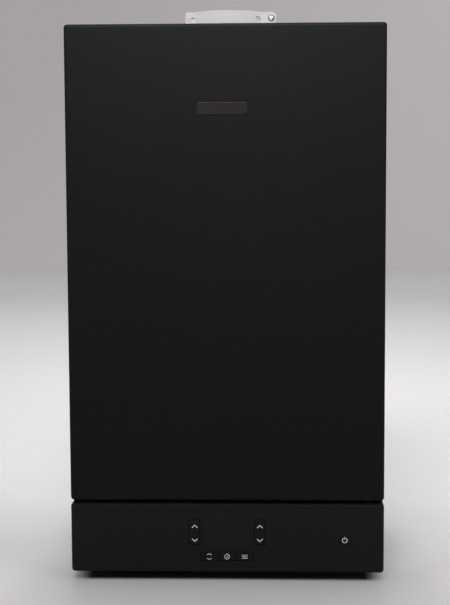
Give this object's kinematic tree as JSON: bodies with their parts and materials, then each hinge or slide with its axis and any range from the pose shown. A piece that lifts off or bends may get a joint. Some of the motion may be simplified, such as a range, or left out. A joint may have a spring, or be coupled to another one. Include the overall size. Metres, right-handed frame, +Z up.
{
  "type": "wall-mounted gas boiler",
  "caption": "Compact wall-hung condensing gas boiler with a removable front cover, a drop-down control panel, working keys, a concentric flue collar and bottom pipe connections.",
  "frame": {"origin": "middle of the wall bracket's bolt line, on the wall plane", "axes": "+Z up, +Y into the wall, -Y towards the viewer, +X to the viewer's right"},
  "size_m": [0.415, 0.291, 0.756],
  "materials": {
    "cover_paint": "satin powder coat",
    "fascia_plastic": "fine textured satin",
    "key_plastic": "satin",
    "smoked_window": "polished",
    "box_plastic": "moulded",
    "badge_metal": "dark satin",
    "galvanised": "galvanised",
    "clamp_metal": "fine brushed",
    "stainless": "satin",
    "fastener": "zinc plated",
    "cast_aluminium": "as cast",
    "moulded_dark": "moulded",
    "group_composite": "glass-filled moulding",
    "pump_casing": "painted",
    "copper": "drawn",
    "gas_steel": "painted",
    "vessel_paint": "gloss paint",
    "brass": "machined",
    "red_plastic": "moulded",
    "blue_plastic": "moulded",
    "board_green": "circuit board",
    "ceramic": "glazed ceramic",
    "seal_rubber": "matt",
    "lead_silicone": "silicone"
  },
  "bodies": {
    "casing": {"air_vent": "moulded_dark", "back_panel": "galvanised", "bottom_tray": "galvanised", "burner_door": "cast_aluminium", "burner_tube": "stainless", "cable_gland": "seal_rubber", "clamp_screw": "fastener", "collar_screws": "fastener", "condensate_hoses": "moulded_dark", "condensate_trap": "moulded_dark", "cross_rail": "galvanised", "diverter_motor": "box_plastic", "door_nuts": "fastener", "exchanger_bracket": "galvanised", "exchanger_coil": "stainless", "expansion_vessel": "vessel_paint", "fan_housing": "cast_aluminium", "fan_motor": "cast_aluminium", "flow_group": "group_composite", "flue_clamp_front": "clamp_metal", "flue_clamp_rear": "clamp_metal", "flue_collar": "galvanised", "flue_pipe": "stainless", "flue_seal": "seal_rubber", "gas_pipes": "gas_steel", "gas_valve": "cast_aluminium", "heat_exchanger": "stainless", "heating_pipes": "copper", "hinge_pins": "galvanised", "ignition_electrodes": "ceramic", "ignition_lead": "lead_silicone", "ignition_transformer": "box_plastic", "left_side_panel": "cover_paint", "mixture_duct": "cast_aluminium", "plate_heat_exchanger": "stainless", "pump_motor": "pump_casing", "return_group": "group_composite", "right_side_panel": "cover_paint", "safety_valve": "brass", "top_panel": "cover_paint", "venturi": "cast_aluminium", "wall_bracket": "galvanised"},
    "cover": {"front_cover": "cover_paint", "cover_gasket": "seal_rubber", "cover_screws": "fastener", "front_badge": "badge_metal"},
    "control_panel": {"control_fascia": "fascia_plastic", "control_box": "box_plastic", "control_board": "board_green", "display_window": "smoked_window"},
    "left_rocker": {"left_rocker_key": "key_plastic"},
    "right_rocker": {"right_rocker_key": "key_plastic"},
    "temperature_press": {"temperature_key": "key_plastic"},
    "gauge_press": {"gauge_key": "key_plastic"},
    "menu_press": {"menu_key": "key_plastic"},
    "power_press": {"power_button": "key_plastic"},
    "fan_wheel": {"fan_impeller": "moulded_dark"},
    "pump_wheel": {"pump_impeller": "moulded_dark"},
    "relief_knob": {"safety_valve_knob": "red_plastic"},
    "filling_tap": {"filling_knob": "blue_plastic"}
  },
  "joints": [
    {"name": "cover_pull", "type": "slide", "parent": "casing", "child": "cover", "axis": [0, -1, 0], "range_m": [0, 0.15]},
    {"name": "panel_drop", "type": "hinge", "parent": "casing", "child": "control_panel", "pos_m": [0, -0.282, -0.647], "axis": [1, 0, 0], "range_deg": [0, 90]},
    {"name": "left_rocker_tip", "type": "hinge", "parent": "control_panel", "child": "left_rocker", "pos_m": [-0.0435, -0.2855, -0.6003], "axis": [1, 0, 0], "range_deg": [-3, 3], "stiffness_Nm_per_rad": 0.06},
    {"name": "right_rocker_tip", "type": "hinge", "parent": "control_panel", "child": "right_rocker", "pos_m": [0.0435, -0.2855, -0.6003], "axis": [1, 0, 0], "range_deg": [-3, 3], "stiffness_Nm_per_rad": 0.06},
    {"name": "temperature_push", "type": "slide", "parent": "control_panel", "child": "temperature_press", "axis": [0, 1, 0], "range_m": [0, 0.0015], "stiffness_N_per_m": 300},
    {"name": "gauge_push", "type": "slide", "parent": "control_panel", "child": "gauge_press", "axis": [0, 1, 0], "range_m": [0, 0.0015], "stiffness_N_per_m": 300},
    {"name": "menu_push", "type": "slide", "parent": "control_panel", "child": "menu_press", "axis": [0, 1, 0], "range_m": [0, 0.0015], "stiffness_N_per_m": 300},
    {"name": "power_push", "type": "slide", "parent": "control_panel", "child": "power_press", "axis": [0, 1, 0], "range_m": [0, 0.0015], "stiffness_N_per_m": 300},
    {"name": "fan_spin", "type": "hinge", "parent": "casing", "child": "fan_wheel", "pos_m": [-0.042, -0.241, -0.338], "axis": [0, 1, 0], "continuous": true},
    {"name": "pump_spin", "type": "hinge", "parent": "casing", "child": "pump_wheel", "pos_m": [0.12, -0.156, -0.515], "axis": [0, 1, 0], "continuous": true},
    {"name": "relief_turn", "type": "hinge", "parent": "casing", "child": "relief_knob", "pos_m": [-0.054, -0.19, -0.505], "axis": [0, 1, 0], "range_deg": [0, 90]},
    {"name": "filling_turn", "type": "hinge", "parent": "casing", "child": "filling_tap", "pos_m": [0.098, -0.144, -0.655], "axis": [0, 0, 1], "range_deg": [0, 180]}
  ]
}
